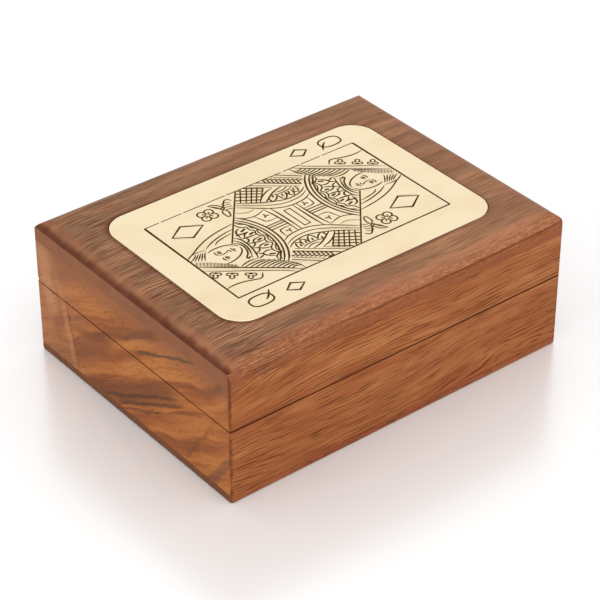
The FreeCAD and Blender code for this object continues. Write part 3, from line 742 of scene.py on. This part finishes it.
hems = [([(-10.6, -7.2), (-8.5, -6.0), (-5.5, -5.45), (-2.5, -5.55), (0.0, -6.3), (3.5, -8.4), (6.8, -11.3),
          (9.9, -13.9)], 0.8),
        ([(-11.0, -9.1), (-8.5, -7.8), (-5.5, -7.25), (-2.5, -7.4), (0.0, -8.2), (3.0, -10.0), (6.0, -12.4),
          (9.2, -14.9)], 0.7),
        ([(-11.5, -10.8), (-9.8, -9.6), (-7.0, -8.75), (-4.0, -8.7), (-1.5, -9.5), (1.5, -10.9), (4.6, -12.9),
          (8.4, -15.6)], 0.85)]
for hem, weight in hems:
    cut(hem, weight)
cut([(0.6, -9.0), (3.6, -11.1), (8.6, -15.1)], 2.4, into=frosted)
cut([(3.4, -9.0), (6.4, -11.7), (9.4, -14.2)], 1.6, into=frosted)
feet = [(-9.7, -12.6), (-7.7, -12.0), (-5.7, -11.9), (-3.1, -12.1), (-0.3, -12.2)]
tips = [(-8.9, -9.7), (-7.0, -9.1), (-4.0, -8.95), (-0.4, -9.95)]
for first, tip, last in zip(feet, tips, feet[1:]):
    left_side = ((first[0] + tip[0]) / 2 - 0.25, (first[1] + tip[1]) / 2 + 0.3)
    right_side = ((last[0] + tip[0]) / 2 + 0.3, (last[1] + tip[1]) / 2 + 0.3)
    cut([first, left_side, tip], 1.05)
    cut([tip, right_side, last], 1.05)
for spot in ((-8.55, -11.7), (-6.55, -11.2), (-4.3, -11.2), (-1.75, -12.2)):
    cut([(spot[0] - 0.15, spot[1] - 0.5), (spot[0] + 0.15, spot[1] + 0.6)], 2.0)
cut([(-8.8, -13.0), (-7.2, -12.35), (-5.2, -12.2), (-3.2, -12.4), (-2.0, -12.9)], 0.75)
cut([(-7.9, -13.9), (-6.5, -13.2), (-5.0, -13.1), (-3.4, -13.5)], 0.8)
cut([(-6.7, -14.8), (-5.0, -14.45), (-3.3, -13.9), (-1.7, -13.0), (0.3, -11.7), (1.7, -10.85)], 0.95)
cut([(-4.1, -15.7), (-2.0, -15.2), (0.2, -14.1), (1.8, -12.9), (2.9, -11.7)], 0.9)
for start, end in (((0.7, -14.0), (-2.3, -17.3)), ((3.6, -12.6), (-1.1, -18.4)), ((4.8, -13.3), (0.1, -19.3)),
                   ((5.9, -14.1), (1.2, -20.2)), ((7.2, -15.0), (3.1, -20.6))):
    cut([start, end], 0.78, straight=True)
for start, end in (((1.9, -12.8), (8.0, -16.9)), ((0.7, -13.9), (6.8, -18.3)), ((-0.4, -15.0), (5.7, -19.5)),
                   ((-1.5, -15.9), (4.4, -20.3)), ((-2.1, -17.1), (2.2, -20.5))):
    cut([start, end], 1.0, straight=True)
straps = [((-12.1, -12.4), (-2.2, -20.7), 0.9), ((-10.8, -11.8), (0.1, -20.7), 0.6),
          ((-4.4, -15.9), (1.1, -20.5), 0.45), ((-14.7, -15.5), (-9.1, -20.6), 0.8),
          ((-13.8, -14.8), (-7.5, -20.5), 0.6)]
for start, end, weight in straps:
    cut([start, end], weight, straight=True)
cut([(-14.9, -16.6), (-11.0, -20.4)], 1.3, straight=True, into=frosted)
for strand in range(9):
    x, y = -12.1 + 0.94 * strand, -14.3 - 0.77 * strand
    cut([(x, y + 1.6), (x, y), (x - 1.7, y + 0.1)], 1.1, straight=True)

# The corner index: the letter of the rank and a small suit mark.

oval = [(math.copysign(abs(x) ** 0.75, x) * 3.5, math.copysign(abs(y) ** 0.75, y) * 2.25)
        for x, y in arc((0, 0), 1.0, 0, 345, count=24)]
cut(placed(oval, (-32.4, -25.25)), 1.0, closed=True)
cut([(-31.2, -25.9), (-30.1, -25.1), (-29.0, -23.9), (-28.1, -22.6)], 1.15)
cut([(-24.5, -25.85), (-21.8, -23.8), (-18.7, -25.8), (-21.7, -27.8)], 1.45, closed=True, straight=True)

# The filling is dark wax, rubbed off flush and worn a little thin in places. The frosted bands are the brass
# itself, stippled with a fine punch.

wax = Finish("dark_wax")
x, y, z = wax.place()
worn = wax.noise(x / 2.2, y / 2.2, z / 2.2, 3.0, 0.6)
tones = [(0.35, linear(62, 43, 10)), (0.55, linear(80, 58, 18)), (0.7, linear(106, 80, 34))]
colour = wax.ramp(worn, tones)
wax.surface(Base_Color=colour, Roughness=0.6 + 0.3 * worn, Specular_IOR_Level=0.03)
frosting = Finish("frosted_brass")
x, y, z = frosting.place()
grit = frosting.noise(x / 0.12, y / 0.12, z / 0.12, 2.0)
colour = frosting.mix(grit.step(0.35, 0.65), linear(230, 210, 172), linear(244, 225, 188))
relief = frosting.bump(grit, strength=0.3, distance=0.02 * MM)
frosting.surface(Base_Color=colour, Metallic=1.0, Roughness=0.36 + 0.2 * grit, Normal=relief)
left_bands = engraved("frosted_bands_left", frosted, flatness=0.02, material=frosting.material)
turned(left_bands, "frosted_bands_right")
left_queen = engraved("engraved_queen_left", waxed, flatness=0.1, material=wax.material)
turned(left_queen, "engraved_queen_right")

# The frame round both figures is cut firmly on three sides. Along the fourth the graver skipped and left a
# thin, broken line. A narrow upright panel stands between the figures.

border = []
firm_sides = [(frame_left, frame_high), (frame_left, frame_low), (frame_right, frame_low),
              (frame_right, frame_high)]
cut(firm_sides, 1.35, straight=True, into=border)
broken_side = [(frame_left, -31.8), (-31.1, -24.2), (-23.6, -9.5), (-9.0, 10.0), (10.8, 16.5), (17.1, 24.0),
               (24.7, frame_right)]
for start, end in broken_side:
    cut([(start, frame_high), (end, frame_high)], 0.65, straight=True, into=border)
panel = placed([(-1.0, -4.55), (1.0, -4.55), (1.0, 4.55), (-1.0, 4.55)], figure_centre)
cut(panel, 1.0, closed=True, straight=True, into=border)
engraved("engraved_frame", border, flatness=0.1, material=wax.material)

# Felt linings. A sheet of wool felt is cut a little smaller than the tray and glued to its floor, and one
# like it is glued up under the top board. The glue leaves them slightly uneven, with a soft cut edge.

felt = Finish("wool_felt")
x, y, z = felt.place()
clouds = felt.noise(x / 14, y / 14, z / 14, 3.0)
fuzz = felt.noise(x / 0.5, y / 0.5, z / 0.5, 4.0, 0.7)
hairs = felt.noise(x / 0.18 + fuzz * 4, y / 1.1 + clouds * 5, z / 0.4, 3.0, 0.7)
tones = [(0.3, linear(74, 14, 24)), (0.5, linear(106, 24, 34)), (0.7, linear(132, 38, 46))]
colour = felt.ramp(clouds * 0.4 + fuzz * 0.6, tones)
colour = felt.mix(hairs.step(0.6, 0.72) * 0.35, colour, linear(160, 74, 78))
relief = felt.bump(fuzz + hairs, strength=0.6, distance=0.15 * MM)
felt.surface(Base_Color=colour, Roughness=0.95, Normal=relief, Sheen_Weight=0.35, Sheen_Roughness=0.5,
             Specular_IOR_Level=0.1)
lump_size, lump_height, pressed_in, rubbed_rim = 9 * MM, 0.16 * MM, 0.12 * MM, 0.3 * MM


def felt_sheet(name, node, body, glued_level, face_level):
    """One sheet: uneven on its face, flat where it is glued, its corners and its rim rubbed soft."""
    low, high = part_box(node)
    width, length = high.x - low.x, high.y - low.y
    middle = ((low.x + high.x) / 2, (low.y + high.y) / 2)
    up = 1 if face_level > glued_level else -1
    bpy.ops.object.select_all(action="DESELECT")
    bpy.ops.mesh.primitive_grid_add(x_subdivisions=72, y_subdivisions=54, size=1, enter_editmode=True)
    bpy.ops.transform.resize(value=(width, length, 1), center_override=(0, 0, 0))
    bpy.ops.transform.translate(value=(*middle, face_level - up * pressed_in))
    bpy.ops.object.mode_set(mode="OBJECT")
    sheet = bpy.context.active_object
    sheet.name = sheet.data.name = name
    bpy.ops.object.transform_apply(location=True, rotation=True, scale=True)
    unevenness = bpy.data.textures.new(name, "CLOUDS")
    unevenness.noise_scale = lump_size
    press = sheet.modifiers.new("press", "DISPLACE")
    press.texture = unevenness
    press.texture_coords = "LOCAL"
    press.strength = lump_height
    bpy.ops.object.modifier_apply(modifier="press")
    bpy.ops.object.mode_set(mode="EDIT")
    bpy.ops.mesh.select_all(action="SELECT")
    bpy.ops.mesh.extrude_region_move(TRANSFORM_OT_translate={"value": (0, 0, glued_level - face_level)})
    bpy.ops.transform.resize(value=(1, 1, 0), center_override=(0, 0, glued_level))
    bpy.ops.mesh.select_all(action="SELECT")
    bpy.ops.mesh.normals_make_consistent(inside=False)
    bpy.ops.object.mode_set(mode="OBJECT")
    soften = sheet.modifiers.new("soften", "BEVEL")
    soften.width = rubbed_rim
    soften.segments = 3
    soften.angle_limit = math.radians(60)
    bpy.ops.object.modifier_apply(modifier="soften")
    bpy.ops.object.shade_smooth_by_angle(angle=math.radians(40))
    sheet.data.materials.append(felt.material)
    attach(sheet, body)
    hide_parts(node)


tray_felt, lid_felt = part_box("base_felt_lining"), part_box("lid_felt_lining")
felt_sheet("tray_felt", "base_felt_lining", "base", tray_felt[0].z, tray_felt[1].z)
felt_sheet("lid_felt", "lid_felt_lining", "lid", lid_felt[1].z, lid_felt[0].z)

# Two brass butt hinges are let into the back. Their leaves are stamped from sheet and rubbed along their
# length, their screws are turned, and all of it has dulled a little except where it is touched.

hinge_brass = Finish("hinge_brass")
x, y, z = hinge_brass.place()
clouds = hinge_brass.noise(x / 5, y / 5, z / 5, 3.0)
brushing_and_highlight = hinge_brass.noise(x / 5, y / 0.12, z / 0.12, 3.0, 0.6)
tones = [(0.3, linear(190, 142, 72)), (0.5, linear(216, 172, 98)), (0.75, linear(228, 188, 118))]
colour = hinge_brass.ramp(clouds, tones)
speck = hinge_brass.noise(x / 0.5, y / 0.5, z / 0.5, 2.0).step(0.66, 0.76)
low, high = (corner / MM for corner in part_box("right_hinge_base_screws"))
head_radius = (high.y - low.y) / 2
hinge_middle, spread = (low.x + high.x) / 2, (high.x - low.x) / 2 - head_radius
beside = abs(abs(abs(x) - hinge_middle) - spread)
behind = y - (low.y + high.y) / 2
from_screw = (beside * beside + behind * behind).math("SQRT")
# Tarnish specks, and a dark ring round the edge of each screw head that is painted shade in the crevice.
tarnish_and_crevice_shade = speck.math("MAXIMUM", abs(from_screw - head_radius).step(0.28, 0.08))
colour = hinge_brass.mix(tarnish_and_crevice_shade * 0.6, colour, linear(104, 70, 34))
dullness = 0.26 + 0.16 * clouds + 0.1 * brushing_and_highlight + 0.2 * tarnish_and_crevice_shade
relief = hinge_brass.bump(brushing_and_highlight, strength=0.25, distance=0.02 * MM)
hinge_brass.surface(Base_Color=colour, Metallic=1.0, Roughness=dullness, Normal=relief)
dress([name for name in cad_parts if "hinge" in name], hinge_brass.material)
